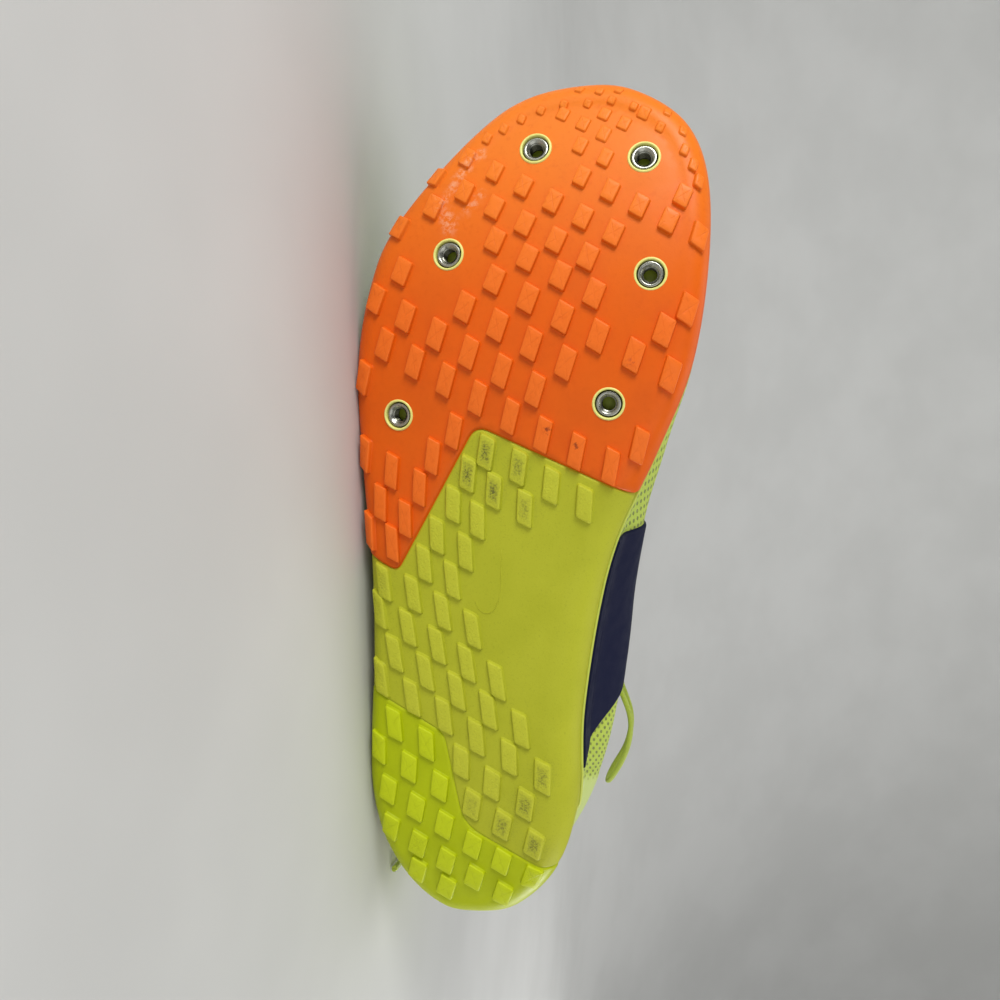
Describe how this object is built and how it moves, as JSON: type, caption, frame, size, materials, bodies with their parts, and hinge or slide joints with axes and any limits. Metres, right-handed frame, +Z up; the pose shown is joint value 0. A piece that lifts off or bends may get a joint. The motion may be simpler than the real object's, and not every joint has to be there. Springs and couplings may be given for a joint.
{
  "type": "cross country spike shoe",
  "caption": "Low running spike for cross country, a right shoe lying on its lateral side: lugged rubber forefoot with steel spike seats, foam midsole, rubber heel pod and laced mesh upper.",
  "frame": {"origin": "on the floor under the middle of the shoe's box, free lace left out", "axes": "X from toe to heel, Y from the sole to the collar, Z up from the floor on which the shoe lies on its lateral side"},
  "size_m": [0.2767, 0.1251, 0.1094],
  "materials": {
    "mesh": "open sports mesh, fluorescent yellow green",
    "lining": "brushed lining",
    "foam": "moulded foam, satin",
    "orange_rubber": "semi-gloss moulded rubber",
    "lime_rubber": "satin moulded rubber",
    "pale_rubber": "satin moulded ring",
    "steel": "turned steel",
    "navy": "matt welded film",
    "lace": "woven round lace"
  },
  "bodies": {
    "root": {"insole": "lining", "lace_bars": "lace", "lace_end_heel": "lace", "lace_end_toe": "lace", "lace_knot": "lace", "lace_loop_lateral": "lace", "lace_loop_medial": "lace", "midsole": "foam", "outsole_forefoot": "orange_rubber", "outsole_heel": "lime_rubber", "saddle_lateral": "navy", "saddle_medial": "navy", "seat_collar_1": "pale_rubber", "seat_collar_2": "pale_rubber", "seat_collar_3": "pale_rubber", "seat_collar_4": "pale_rubber", "seat_collar_5": "pale_rubber", "seat_collar_6": "pale_rubber", "seat_insert_1": "steel", "seat_insert_2": "steel", "seat_insert_3": "steel", "seat_insert_4": "steel", "seat_insert_5": "steel", "seat_insert_6": "steel", "tongue": "mesh", "upper": "mesh"}
  },
  "joints": []
}
